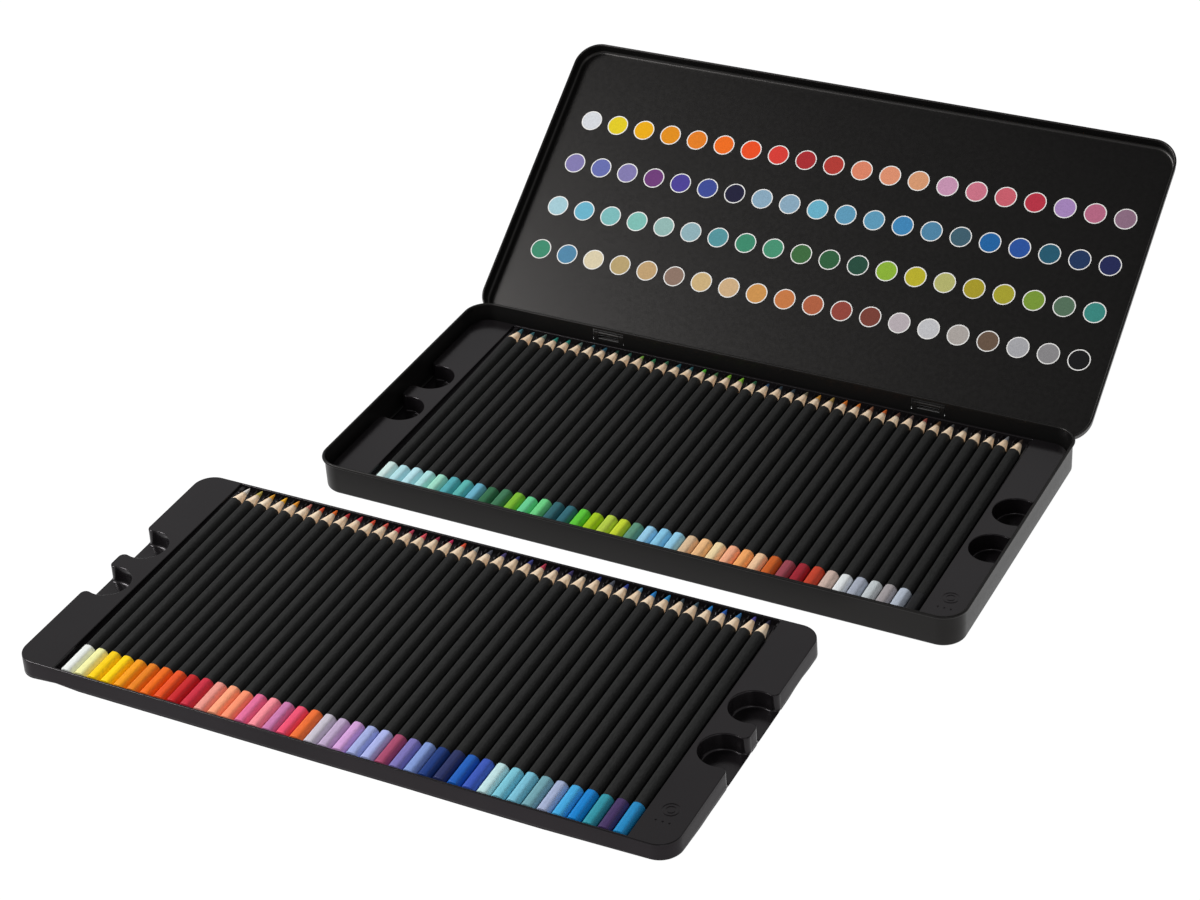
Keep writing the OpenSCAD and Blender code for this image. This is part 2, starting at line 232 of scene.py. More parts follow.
class Look:
    """A node material on one Principled shader."""

    def __init__(self, name):
        self.mat = bpy.data.materials.new(name)
        self.mat.use_nodes = True
        self.nt = self.mat.node_tree
        self.nt.nodes.clear()
        out = self.node("ShaderNodeOutputMaterial")
        self.p = self.node("ShaderNodeBsdfPrincipled")
        self.nt.links.new(self.p.outputs["BSDF"], out.inputs["Surface"])
        self.at = self.node("ShaderNodeTexCoord").outputs["Object"]

    def node(self, kind):
        return self.nt.nodes.new(kind)

    def set(self, **values):
        for k, v in values.items():
            s = self.p.inputs[k.replace("_", " ")]
            s.default_value = (*v, 1.0) if isinstance(v, (list, tuple)) and len(v) == 3 else v
        return self

    def noise(self, scale, detail=2.0, rough=0.5, stretch=None):
        source = self.at
        if stretch:
            m = self.node("ShaderNodeMapping")
            m.inputs["Scale"].default_value = stretch
            self.nt.links.new(source, m.inputs["Vector"])
            source = m.outputs["Vector"]
        n = self.node("ShaderNodeTexNoise")
        n.inputs["Scale"].default_value = scale
        n.inputs["Detail"].default_value = detail
        n.inputs["Roughness"].default_value = rough
        self.nt.links.new(source, n.inputs["Vector"])
        return n.outputs["Fac"]

    def span(self, fac, low, high, lo_in=0.3, hi_in=0.7):
        r = self.node("ShaderNodeMapRange")
        for k, v in (("From Min", lo_in), ("From Max", hi_in), ("To Min", low), ("To Max", high)):
            r.inputs[k].default_value = v
        self.nt.links.new(fac, r.inputs["Value"])
        return r.outputs["Result"]

    def mix(self, fac, a, b):
        m = self.node("ShaderNodeMix")
        m.data_type = "RGBA"
        for socket, v in ((m.inputs[6], a), (m.inputs[7], b)):
            if isinstance(v, (list, tuple)):
                socket.default_value = (*v, 1.0)
            else:
                self.nt.links.new(v, socket)
        if isinstance(fac, (int, float)):
            m.inputs[0].default_value = fac
        else:
            self.nt.links.new(fac, m.inputs[0])
        return m.outputs[2]

    def drive(self, socket, value):
        self.nt.links.new(value, self.p.inputs[socket])
        return self

    def bump(self, height, strength, distance):
        b = self.node("ShaderNodeBump")
        b.inputs["Strength"].default_value = strength
        b.inputs["Distance"].default_value = distance
        self.nt.links.new(height, b.inputs["Height"])
        self.nt.links.new(b.outputs["Normal"], self.p.inputs["Normal"])
        return self


def scaled(c, k):
    return [min(1.0, x * k) for x in c]


def tin_lacquer(name, rough, ior, dark):
    k = Look(name)
    k.set(Specular_Tint=[1.0, 0.955, 0.93])
    k.drive("Base Color", k.mix(k.span(k.noise(9.0, 3.0), 0, 1), scaled([1.0, 0.96, 0.96], dark * 0.9), scaled([1.0, 0.96, 0.94], dark * 1.1)))
    k.drive("Roughness", k.span(k.noise(420.0, 3.0), rough - 0.02, rough + 0.02))
    k.set(IOR=ior)
    k.bump(k.noise(1500.0, 2.0), 0.05, 0.0002)
    return k.mat


def tray_plastic(name, dark, ior, rough):
    k = Look(name)
    k.drive("Base Color", k.mix(k.span(k.noise(14.0, 3.0), 0, 1), scaled([1.0, 0.87, 0.97], dark * 0.85), scaled([1.0, 0.87, 0.97], dark * 1.15)))
    k.drive("Roughness", k.span(k.noise(900.0, 3.0), rough - 0.025, rough + 0.025))
    k.set(IOR=ior, Specular_Tint=[1.0, 0.94, 0.98])
    k.bump(k.noise(1800.0, 2.0), 0.04, 0.0002)
    return k.mat


def pencil_paint():
    k = Look("pencil_black_paint")
    grain = k.noise(2300.0, 3.0, 0.65, stretch=(1.0, 0.16, 1.0))
    k.drive("Base Color", k.mix(k.span(grain, 0, 1, 0.35, 0.65), [0.0060, 0.0062, 0.0061], [0.0150, 0.0152, 0.0149]))
    k.set(IOR=1.30)
    k.drive("Roughness", k.span(k.noise(900.0, 2.0), 0.50, 0.64))
    k.bump(grain, 0.30, 0.00012)
    return k.mat


def cedar():
    k = Look("sharpened_wood")
    grain = k.noise(620.0, 4.0, 0.6, stretch=(1.0, 0.10, 1.0))
    tone = k.noise(120.0, 1.0, stretch=(1.0, 0.02, 0.02))
    c = k.mix(k.span(grain, 0, 1, 0.35, 0.65), linear("#e6c8a6"), linear("#fbe8cd"))
    c = k.mix(k.span(tone, 0.0, 0.40), c, linear("#eecdac"))
    k.drive("Base Color", c)
    k.set(Roughness=0.62)
    k.bump(k.noise(2600.0, 2.0, stretch=(1.0, 0.3, 1.0)), 0.25, 0.00010)
    return k.mat


def lacquer(name, rgb):
    """Dipped colour, thin enough to show the wood's grain."""
    k = Look(name)
    grain = k.noise(1900.0, 3.0, 0.6, stretch=(1.0, 0.22, 1.0))
    k.drive("Base Color", k.mix(k.span(grain, 0, 1, 0.3, 0.7), scaled(rgb, 0.86), scaled(rgb, 1.06)))
    k.drive("Roughness", k.span(k.noise(800.0, 2.0), 0.38, 0.48))
    k.set(IOR=1.30)
    k.bump(grain, 0.16, 0.00010)
    return k.mat


def core_colour(name, rgb):
    k = Look(name)
    k.drive("Base Color", k.mix(k.span(k.noise(2500.0, 2.0), 0, 1), scaled(rgb, 0.80), scaled(rgb, 1.08)))
    k.set(Roughness=0.55)
    k.bump(k.noise(3600.0, 2.0), 0.2, 0.00008)
    return k.mat


def print_ink(name, rgb, rough=0.5):
    k = Look(name)
    k.drive("Base Color", k.mix(k.span(k.noise(900.0, 3.0, 0.65), 0, 1), scaled(rgb, 0.88), scaled(rgb, 1.04)))
    k.set(Roughness=rough, IOR=1.18)
    return k.mat


def steel():
    k = Look("pin_steel")
    k.set(Base_Color=[0.46, 0.46, 0.47], Metallic=1.0)
    k.drive("Roughness", k.span(k.noise(1400.0, 2.0, stretch=(0.1, 1.0, 1.0)), 0.22, 0.38))
    return k.mat


TIN = tin_lacquer("black_tin", 0.34, 1.27, 0.0068)
LID = tin_lacquer("black_tin_lid", 0.31, 1.385, 0.0042)
PLASTIC = tray_plastic("tray_plastic", 0.0070, 1.325, 0.175)
# The skirt is the same plastic as the land; this copy, with a lighter base colour and weaker reflection, is painted
# shade that makes the skirt darker than the land.
SKIRT = tray_plastic("tray_plastic_drawn", 0.0225, 1.14, 0.30)
PAINT = pencil_paint()
WOOD = cedar()
PIN = steel()

# Colours, chosen and named.
C = dict(
    white="#e3e6e2", pale_yellow="#ece9a2", yellow="#f3c906", golden="#fbcf05", amber="#f09a14",
    orange="#e07c18", deep_orange="#ea6a14", vermilion="#e2501e", red="#c01f24", crimson="#c52a3e",
    salmon="#e79488", peach="#f9a27c", coral="#f7906c", rose="#df6c98", light_pink="#f58d98",
    mauve="#c678aa", hot_pink="#ea4f70", burnt="#ea6d31", lilac_grey="#c5bfcb", lilac="#bba6c6",
    violet_pale="#d19fd6", periwinkle="#a1acdd", periwinkle_pale="#a9b2e6", plum="#a5486a",
    violet="#7a72b4", cornflower="#8098d2", navy="#17377a", dark_navy="#262f5e", royal="#1a5cb6",
    blue_violet="#3755b4", ice="#bfe0e2", aqua="#79c2d4", aqua_mid="#78bdd3", steel_teal="#71a3ae",
    periwinkle_grey="#a3afcf", sky="#42a6dd", azure="#0f80cc", teal="#2f92a3", dark_purple="#43315f",
    cerulean="#1f86bf",
    mint_white="#cfe6e2", aqua_pale="#b4dfe6", aqua_ice="#b8e2ea", aqua_mint="#aee0e0", mint="#9edcc6",
    teal_aqua="#52a9b2", sea="#57b3ae", sky_teal="#68b0c8", forest="#2f6b48", bottle="#3a7552",
    leaf="#7bb82f", spring="#66cf93", spring_mid="#6ace83", deep_teal="#2a6068", petrol="#2b6672",
    bright_green="#5cc636", lime="#a3c80f", lime_pale="#b6cf45", lime_yellow="#c6d82e", sage="#5a9078",
    light_sky="#97cdea", sky_light="#86c6e6", sky_pale="#93cde9", beige="#dbbb97", sand="#eebb85",
    cream="#f1d8a8", shell="#f4ad88", apricot="#f4a763", flesh="#efc59c", rust="#c75d1d",
    brick_rose="#97424f", wine="#9d1c2c", brick="#c23f25", pink_grey="#cdb4a8", off_white="#e2e6e8",
    blue_grey="#a7aebd", silver="#c3cacd", taupe="#a19b9d", cool_grey="#b4bdcb", black="#18181a",
    chart_white="#d2d5da", chart_yellow="#dfc81e", chart_amber="#e8aa0a", ochre="#df8c14",
    chart_orange="#e27d20", tangerine="#ee6c1a", scarlet="#ea4e20", chart_red="#d63c34",
    dark_red="#a92b30", chart_brick="#b23a33", chart_salmon="#dd8466", chart_peach="#df916f",
    tan_peach="#d89a72", pink_lilac="#c995b4", chart_rose="#c4607f", carmine="#c53e5a",
    chart_crimson="#b93446", lavender="#a887be", mauve_rose="#b96a86", grey_mauve="#8f6f84",
    slate_violet="#8078ac", chart_plum="#6d3a77", royal_purple="#4a3f94", ink="#1d1c38",
    steel_light="#89a9be", steel_sky="#5d9ab9", chart_steel="#4f85a6", grey_teal="#3f5f6e",
    chart_blue="#2a6ea6", royal_blue="#2b54a0", chart_petrol="#265a70", chart_navy="#23385e",
    grey_aqua="#79a7a8", pale_steel="#8fb0b8", teal_grey="#54949c", emerald="#3c8a6c",
    chart_green="#469272", moss="#3d6b3e", dark_green="#2f5f3d", pine="#254c3d", chart_lime="#8db437",
    chart_yellow_lime="#b3bd3a", pale_olive="#b7b670", mustard="#a99b2a", olive="#a6b13c",
    grass="#7b9a38", grey_green="#56725c", chart_sea="#3c8b83", tan="#bf9f72", khaki="#b7a06f",
    warm_tan="#b1926f", taupe_brown="#8d7466", chart_sand="#cdb07e", light_tan="#cfae84",
    chart_ochre="#cf9450", terracotta="#c97a45", sienna="#b16040", redwood="#94453a",
    brown="#7a3f35", pinkish_grey="#a79fa1", light_grey="#b4b3b2", warm_grey="#8f8884",
    dark_brown="#63504a", mid_grey="#8b8a8b", grey="#75767a", tea="#c9b593",
    dusk_blue="#656cac", indigo_blue="#3c4a94", pale_aqua="#a3c9d3", soft_teal="#7ab8b8",
    soft_mint="#7dbcb2", grey_mint="#92b7b2", light_tea="#d9ccab",
    dusty_pink="#cd7488", rose_coral="#cc606e", chart_azure="#3f86b8", deep_blue="#2264a2",
    night_blue="#262b57", yellow_olive="#bcb22c", olive_gold="#a9a330", shell_grey="#bab0b5",
    ash_light="#c4c4c7", stone_light="#aea7a2", umber_grey="#695546", silver_grey="#a9a9ad",
    smoke_grey="#8b898b",
    pearl="#d9d3cc", olive_yellow="#bda94a", honey="#e6a01a", marigold="#f8b414", dusty_rose="#c8766a",
    orange_red="#ee5430", coral_red="#e05646", rose_red="#d43a4c", coral_rose="#e44f5c", maroon="#9c2846",
    magenta="#d22a60", stone="#8d8d8a", slate="#4b4e5b", dusk_violet="#4a3f76", indigo="#2b2e6e",
    indigo_light="#383d84", raspberry="#bb304c", aubergine="#352a62", graphite="#26282c",
    ultramarine="#20368c", steel_blue="#5c94ba", slate_blue="#2a3c48", slate_teal="#35505e",
    teal_slate="#3d6f7a", moss_grey="#5b756e", jade="#248a7a", pine_teal="#2a5b50", leaf_light="#7cb044",
    meadow="#2c7c4c", lime_green="#88c438", steel_navy="#2b4b6c", ebony="#2c3a44", olive_grey="#6a6450",
    ochre_tip="#cc8c2c", straw="#aa8e4a", pumpkin="#e27a26", chestnut="#8a5a40", umber="#5c4022",
    cocoa="#5a3528", ash="#4a494a", coffee="#3a2d25",
)
UPPER = (
    "white pale_yellow yellow golden amber orange deep_orange vermilion red crimson salmon peach coral "
    "rose light_pink mauve hot_pink burnt lilac_grey lilac violet_pale periwinkle periwinkle_pale plum "
    "violet cornflower navy dark_navy royal blue_violet ice aqua aqua_mid steel_teal periwinkle_grey sky "
    "azure teal dark_purple cerulean"
).split()
LOWER = (
    "mint_white aqua_pale aqua_ice aqua_mint mint teal_aqua sea sky_teal forest bottle leaf spring "
    "spring_mid deep_teal petrol bright_green lime lime_pale lime_yellow sage light_sky sky_light sky_pale "
    "beige sand cream shell apricot flesh rust brick_rose wine brick pink_grey off_white blue_grey silver "
    "taupe cool_grey black"
).split()
UPPER_TIPS = (
    "pearl olive_yellow honey marigold amber dusty_rose vermilion tangerine red crimson orange_red coral_red "
    "rose_red carmine coral_rose maroon magenta orange_red stone slate dusk_violet indigo indigo_light "
    "raspberry aubergine aubergine graphite ultramarine slate ultramarine steel_blue azure cerulean slate_blue "
    "slate_teal azure royal chart_blue royal_purple ink"
).split()
LOWER_TIPS = (
    "teal_slate teal_slate moss_grey jade jade moss_grey petrol chart_petrol pine pine_teal leaf_light meadow "
    "bottle petrol deep_teal bright_green moss lime_green lime_green forest steel_navy slate_blue ebony "
    "olive_grey ochre_tip straw pumpkin pumpkin chestnut rust cocoa dark_brown redwood umber ash ash coffee ash "
    "grey coffee"
).split()
CHART = [
    "chart_white chart_yellow chart_amber ochre chart_orange tangerine scarlet chart_red dark_red "
    "chart_brick chart_salmon chart_peach tan_peach pink_lilac dusty_pink rose_coral chart_crimson lavender "
    "mauve_rose grey_mauve",
    "slate_violet dusk_blue slate_violet chart_plum royal_purple indigo_blue ink steel_light steel_light sky_teal "
    "steel_sky steel_sky chart_azure chart_steel grey_teal deep_blue royal_blue chart_petrol chart_navy "
    "night_blue",
    "pale_aqua sky_teal soft_teal soft_mint grey_mint pale_steel teal_grey emerald chart_green moss dark_green pine "
    "chart_lime yellow_olive pale_olive mustard olive_gold grass grey_green chart_sea",
    "emerald chart_steel light_tea khaki tan taupe_brown chart_sand light_tan chart_ochre terracotta sienna redwood "
    "brown shell_grey ash_light stone_light umber_grey silver_grey smoke_grey black",
]
CHART = [row.split() for row in CHART]
assert all(len(r) == COUNT for r in (UPPER, LOWER, UPPER_TIPS, LOWER_TIPS)) and all(len(r) == 20 for r in CHART)
FAMILIES = [
    ("yellow", 1, 5, 0), ("red", 6, 10, 0), ("pink", 11, 18, 0), ("violet", 19, 26, 0),
    ("navy", 27, 30, 0), ("blue", 31, 40, 0), ("aqua", 1, 8, 1), ("green", 9, 15, 1),
    ("lime", 16, 20, 1), ("sky", 21, 23, 1), ("cream", 24, 29, 1), ("brown", 30, 33, 1),
    ("grey", 34, 39, 1), ("black", 40, 40, 1),
]

# ------------------------------------------------------------------ camera ----
az, el, roll = (math.radians(a) for a in (29.044, 33.759, 3.813))
to_camera = Vector((math.sin(az) * math.cos(el), -math.cos(az) * math.cos(el), math.sin(el)))
eye = Vector((-51.386, -17.649, 15.0)) + to_camera * 1597.274
level = to_camera.cross(Vector((0, 0, 1))) * -1
level.normalize()
down = (-to_camera).cross(level)
right = level * math.cos(roll) + down * math.sin(roll)
down = down * math.cos(roll) - level * math.sin(roll)
cam_data = bpy.data.cameras.new("camera")
cam_data.sensor_fit = "HORIZONTAL"
cam_data.sensor_width = 36.0
cam_data.lens = 2826.743 / 1200 * 36.0
cam_data.clip_start, cam_data.clip_end = 0.05, 20.0
camera = bpy.data.objects.new("camera", cam_data)
scene.collection.objects.link(camera)
turn = Matrix((right, -down, to_camera)).transposed().to_4x4()
camera.matrix_world = Matrix.Translation(eye * MM) @ turn
scene.camera = camera


# -------------------------------------------------------------- tin's base ----
def base_pan():
    m = Mesh()
    cuts = []
    for s in (-1, 1):
        cuts += [s * HINGE_X - WIN_X / 2, s * HINGE_X + WIN_X / 2]
    edge = WALL_W / 2 - CORNER_R
    cuts += [edge * t for t in (-0.85, -0.3, 0.0, 0.3, 0.85)]
    outline = rounded_rect(WALL_W, WALL_D, CORNER_R, 18, cuts)
    bend = 1.8
    outer = arc(-bend, bend, bend, 270, 360, 8)
    outer += [(0.0, WIN_Z0), (0.0, WIN_Z1)]
    rim = arc(RIM_OUT - RIM_R, TIN_H - RIM_R, RIM_R, -116, 180, 20)
    inner = [(-SHEET, WIN_Z1), (-SHEET, WIN_Z0)]
    inner += arc(-bend, bend, bend - SHEET, 360, 270, 8)
    rings = swept(m, outline, outer + rim + inner)
    m.face(rings[0][::-1])
    m.face(rings[-1])
    # windows for the hinges in the back wall
    n, lo_o = len(outline), len(outer) - 2
    lo_i = len(outer) + len(rim) + 1
    hi_o, hi_i = lo_o + 1, lo_i - 1
    drop = set()
    for s in (-1, 1):
        a, b = s * HINGE_X + WIN_X / 2, s * HINGE_X - WIN_X / 2
        at = [i for i, p in enumerate(outline) if p[3] == 1 and b - 1e-6 <= p[0] <= a + 1e-6]
        i0, i1 = at[0], at[-1]
        for i in range(i0, i1):
            for k in (lo_o, hi_i):
                drop.add((rings[k][i], rings[k][i + 1], rings[k + 1][i + 1], rings[k + 1][i]))
        o0 = [rings[lo_o][i] for i in range(i0, i1 + 1)] + [rings[hi_o][i] for i in range(i1, i0 - 1, -1)]
        j0 = [rings[lo_i][i] for i in range(i0, i1 + 1)] + [rings[hi_i][i] for i in range(i1, i0 - 1, -1)]
        m.strip(j0, o0)
        m.keep_sharp(o0)
        m.keep_sharp(j0)
    keep = [i for i, f in enumerate(m.f) if f not in drop]
    m.f, m.m = [m.f[i] for i in keep], [m.m[i] for i in keep]
    # curls round the pins, webs across the windows that stand in for the shade under the open lid, and the lugs that
    # stop the lid
    for s in (-1, 1):
        for t in (-1, 1):
            x = s * HINGE_X + t * 8.4
            loop = [(93.82, WIN_Z0 - 0.5), (93.82, PIN_Z - 0.4)]
            loop += arc(PIN_Y, PIN_Z, 1.4, 185, -130, 22)
            loop += arc(PIN_Y, PIN_Z, 0.86, -130, 175, 20)
            loop += [(94.36, PIN_Z - 0.4), (94.36, WIN_Z0 - 0.5)]
            bar_x(m, loop, x - 1.5, x + 1.5)
            if t == 1:
                # A web across the lower part of each window: a dark strip that hides the floor there, standing in for
                # the shade the open lid casts on it.
                shade_web = [(93.82, WIN_Z0 - 0.5), (93.82, 11.8), (93.92, 11.9), (94.26, 11.9), (94.36, 11.8),
                       (94.36, WIN_Z0 - 0.5)]
                bar_x(m, shade_web, s * HINGE_X - 6.95, s * HINGE_X + 6.95)
            lug = [(93.95, 11.05), (95.15, 11.05), (95.3, 11.2), (95.3, 12.0), (95.15, 12.15), (93.95, 12.15)]
            bar_x(m, lug, x - 1.4, x + 1.4)
    return m


o = base_pan().build("tin_base_pan", [TIN], 40)
turned_out(o)
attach(o, "tin_base")
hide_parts("base_pan")
for side in ("left", "right"):
    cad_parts["hinge_pin_" + side].data.materials.clear()
    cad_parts["hinge_pin_" + side].data.materials.append(PIN)


# --------------------------------------------------------------------- lid ----
def lid_pan():
    m = Mesh()
    outline = rounded_rect(LID_W, LID_D, LID_R, 18)
    b = 2.5
    top = PANEL_Z + SHEET
    profile = arc(-b, top - b, b, 90, 0, 10)
    profile += arc(EDGE_R - SHEET, EDGE_Z, EDGE_R, 109.5, -180, 20)
    profile += arc(-b, top - b, b - SHEET, 0, 90, 10)
    rings = swept(m, outline, profile)
    m.face(rings[0])
    m.face(rings[-1][::-1])
    for s in (-1, 1):
        loop = [(96.28, EDGE_Z + 1.0)] + arc(PIN_Y, PIN_Z, 1.4, 44.4, -225, 24)
        loop += arc(PIN_Y, PIN_Z, 0.87, -225, 54.4, 22) + [(95.82, EDGE_Z + 1.0)]
        bar_x(m, loop, s * HINGE_X - 6.6, s * HINGE_X + 6.6)
    return m


o = lid_pan().build("tin_lid_pan", [LID], 40, opened)
turned_out(o)
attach(o, "lid")
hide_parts("lid_pan")


def dot_place(i, j):
    return (1.5 + (i - 9.5) * 18.3, PIN_Y - 95.9 - (1.5 - j) * 30.7)


def circle(cx, cy, r, z, n=56):
    return [(cx + r * math.cos(2 * math.pi * k / n), cy + r * math.sin(2 * math.pi * k / n), z) for k in range(n)]


top, back = PANEL_Z - 0.05, PANEL_Z + 0.03
rings_mesh = Mesh()
for j in range(4):
    dots = Mesh()
    mats = []
    for i in range(20):
        x, y = dot_place(i, j)
        a = dots.ring(circle(x, y, 6.1, back))
        b = dots.ring(circle(x, y, 6.1, top + 0.008))
        c = dots.ring(circle(x, y, 6.09, top))
        dots.strip(a, b, i)
        dots.strip(b, c, i)
        dots.face(c, i)
        dots.face(a[::-1], i)
        dots.keep_sharp(b)
        dots.keep_sharp(c)
        mats.append(print_ink(f"ink_{j + 1}_{i + 1}", scaled(linear(C[CHART[j][i]]), 0.93)))
        r = [rings_mesh.ring(circle(x, y, q, z)) for q, z in ((6.70, back), (6.70, top), (6.1, top), (6.1, back))]
        for p, q in zip(r, r[1:] + r[:1]):
            rings_mesh.strip(p, q)
        for p in r:
            rings_mesh.keep_sharp(p)
    o = dots.build(f"chart_dots_{j + 1}", mats, None, opened)
    turned_out(o)
    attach(o, "lid")
    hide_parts(f"chart_dots_row_{j + 1}")
o = rings_mesh.build("chart_outlines", [print_ink("white_print", [0.80, 0.79, 0.77])], None, opened)
turned_out(o)
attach(o, "lid")
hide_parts("chart_rings")


# ------------------------------------------------------------------- trays ----
def side_with_pockets(w, r_lip=3.4, px=182.2, rp=12.5, centres=(-16.0, 20.2)):
    """The right edge of a tray from front to back: (x, y, nx, ny, part)."""
    x0 = w / 2
    lx = x0 - r_lip
    c = math.sqrt((rp + r_lip) ** 2 - (px - lx) ** 2)
    lean = math.degrees(math.atan2(c, px - lx))
    pts = []
    for yc in centres:
        for k in range(13):
            a = math.radians(lean * k / 12)
            pts.append((lx + r_lip * math.cos(a), yc - c + r_lip * math.sin(a), math.cos(a), math.sin(a), "lip"))
        for k in range(1, 40):
            a = math.radians((lean + 180) - (2 * lean) * 0 - (lean + 180 - (180 - lean)) * k / 40)
            ca, sa = math.cos(a), math.sin(a)
            pts.append((px + rp * ca, yc + rp * sa, -ca, -sa, "pocket"))
        for k in range(13):
            a = math.radians(-lean + lean * k / 12)
            pts.append((lx + r_lip * math.cos(a), yc + c + r_lip * math.sin(a), math.cos(a), math.sin(a), "lip"))
    return pts


def tray_outline(w, d, r):
    pts = []
    cx, cy = w / 2 - r, d / 2 - r

    def corner(sx, sy, a0):
        for k in range(15):
            a = math.radians(a0 + 90 * k / 14)
            pts.append((sx * cx + r * math.cos(a), sy * cy + r * math.sin(a), math.cos(a), math.sin(a), "skirt"))

    def run(p, q, nx, ny, n):
        for k in range(1, n + 1):
            t = k / (n + 1)
            pts.append((p[0] + (q[0] - p[0]) * t, p[1] + (q[1] - p[1]) * t, nx, ny, "skirt"))

    side = side_with_pockets(w)
    run((w / 2, -cy), (w / 2, side[0][1]), 1, 0, 4)
    pts.extend(side)
    run((w / 2, side[-1][1]), (w / 2, cy), 1, 0, 4)
    corner(1, 1, 0)
    run((cx, d / 2), (-cx, d / 2), 0, 1, 24)
    corner(-1, 1, 90)
    left = [(-x, y, -nx, ny, part) for x, y, nx, ny, part in reversed(side)]
    run((-w / 2, cy), (-w / 2, left[0][1]), -1, 0, 4)
    pts.extend(left)
    run((-w / 2, left[-1][1]), (-w / 2, -cy), -1, 0, 4)
    corner(-1, -1, 180)
    run((-cx, -d / 2), (cx, -d / 2), 0, -1, 24)
    corner(1, -1, 270)
    return pts


def inside(x, y, loop):
    hit = False
    for k in range(len(loop)):
        (x0, y0), (x1, y1) = loop[k - 1], loop[k]
        if (y0 > y) != (y1 > y) and x < (x1 - x0) * (y - y0) / (y1 - y0) + x0:
            hit = not hit
    return hit


def tray_sheet():
    """The upper face of a formed tray: land, skirt, finger pockets and grooved well."""
    m = Mesh()
    h = TRAY_H
    inset = 0.25
    wall = tray_outline(TRAY_W - 2 * inset, TRAY_D - 2 * inset, 12.0 - inset)
    n = len(wall)
    rf = 0.65
    limit = TRAY_W / 2

    def shifted(p, off, z):
        x = p[0] + p[2] * off
        return (max(-limit, min(limit, x)), p[1] + p[3] * off, z)

    rings = []
    for k in range(6):
        a = math.radians(90 * k / 5)
        rings.append(m.ring([shifted(p, -rf + rf * math.sin(a), h - rf + rf * math.cos(a)) for p in wall]))
    foot = 1.5

    def draft(p, z):
        t = (h - rf - z) / (h - rf)
        if p[4] == "pocket":
            return 0.40 * t
        if p[4] == "lip":
            return (0.25 + 0.15 * (1 - abs(p[2]))) * t
        return 0.25 * t

    def outside(i, j):
        """The skirt, whose faces take a duller copy of the plastic: painted shade that darkens the skirt against the
        land.
        """
        ends = wall[i][4], wall[j][4]
        flat = abs(wall[i][2]) > 0.999 and abs(wall[j][2]) > 0.999
        return "skirt" in ends or (ends == ("lip", "lip") and flat)

    for z in (7.4, 4.8, SHEET + foot):
        rings.append(m.ring([shifted(p, draft(p, z), z) for p in wall]))
    for k, (a, b) in enumerate(zip(rings, rings[1:])):
        for i in range(n):
            j = (i + 1) % n
            m.face((a[i], a[j], b[j], b[i]), 1 if k > 4 and outside(i, j) else 0)
    low = rings[-1]

    def lift(p):
        """The formed sheet's lower edge is trimmed a little unevenly."""
        x, y = p[0], p[1]
        if p[3] < 0.1 and x > 120 and y < -60:
            return 1.3 * min(1.0, (x - 120) / 60) * min(1.0, (-60 - y) / 25)
        if p[3] < -0.5:
            return 1.35 * math.exp(-(((x + 166) / 9) ** 2)) + 0.25 * math.exp(-(((x - 40) / 30) ** 2))
        if p[2] > 0.5:
            return 1.1 * math.exp(-(((y - 58) / 8) ** 2)) + 0.35 * math.exp(-(((y + 60) / 12) ** 2))
        if p[3] > 0.5:
            return 0.6 * math.exp(-(((x - 120) / 14) ** 2))
        return 0.8 * math.exp(-(((y + 62) / 9) ** 2))

    # skirt below, and the foot and floor of each pocket
    part = [p[4] for p in wall]
    hem = {}
    for i in range(n):
        j = (i + 1) % n
        if outside(i, j):
            for k in (i, j):
                if k not in hem:
                    hem[k] = m.ring([shifted(wall[k], 0.25, lift(wall[k]))])[0]
            m.face((low[i], low[j], hem[j], hem[i]), 1)
    start = 0
    while start < n:
        if part[start] == "lip" and abs(wall[start][2]) > 0.999 and part[(start + 1) % n] == "lip" \
                and abs(wall[(start + 1) % n][2]) < 0.999:
            stop = start + 1
            while not (part[stop] == "lip" and abs(wall[stop][2]) > 0.999):
                stop += 1
            ids = list(range(start, stop + 1))
            last = [low[i] for i in ids]
            for k in range(1, 6):
                a = math.radians(90 * k / 5)
                now = m.ring([
                    shifted(wall[i], draft(wall[i], SHEET + foot) + foot * (1 - math.cos(a)), SHEET + foot * (1 - math.sin(a)))
                    for i in ids
                ])
                m.strip(last, now, closed=False)
                last = now
            m.face(last)
            start = stop
        start += 1
    # grooved floor
    left, right = -165.3, 166.7
    rel = [(-4.1, 9.31), (-3.86, 9.29), (-3.68, 9.13), (-3.45, 8.78), (-2.9, 7.83), (-2.35, 6.88), (-2.1, 6.60),
           (-1.75, 6.47), (0.0, 6.44)]
    rel += [(-x, z) for x, z in reversed(rel[:-1])]
    xs = [(left, 9.31), (left + 1.2, 9.31)]
    for i in range(1, COUNT + 1):
        c = ROW_X + (i - (COUNT + 1) / 2) * PITCH
        xs += [(c + x, z) for x, z in (rel if i == COUNT else rel[:-1])]
    xs.append((right, 9.31))
    hy = 90.0
    ys = [-hy + 2 * hy * k / 12 for k in range(12)]
    ys += [77.0, 80.0, 81.6, 82.6, 83.2, 83.8, 84.4, 85.0, 85.6, 86.4, 87.6, hy]
    chance = random.Random(12)
    teeth = [(chance.uniform(83.7, 85.1), chance.uniform(1.15, 1.4), chance.uniform(0.95, 1.25)) for _ in range(COUNT + 1)]

    def tooth(i, y):
        """Each ridge rises to a small tooth between two tips."""
        x = xs[i][0] - ROW_X + (COUNT + 1) / 2 * PITCH
        k = min(COUNT, max(0, math.floor(x / PITCH)))
        side = abs(x - (k + 0.5) * PITCH)
        at, high, wide = teeth[k]
        return high * math.exp(-((side / 0.95) ** 2) - ((y - at) / wide) ** 2)

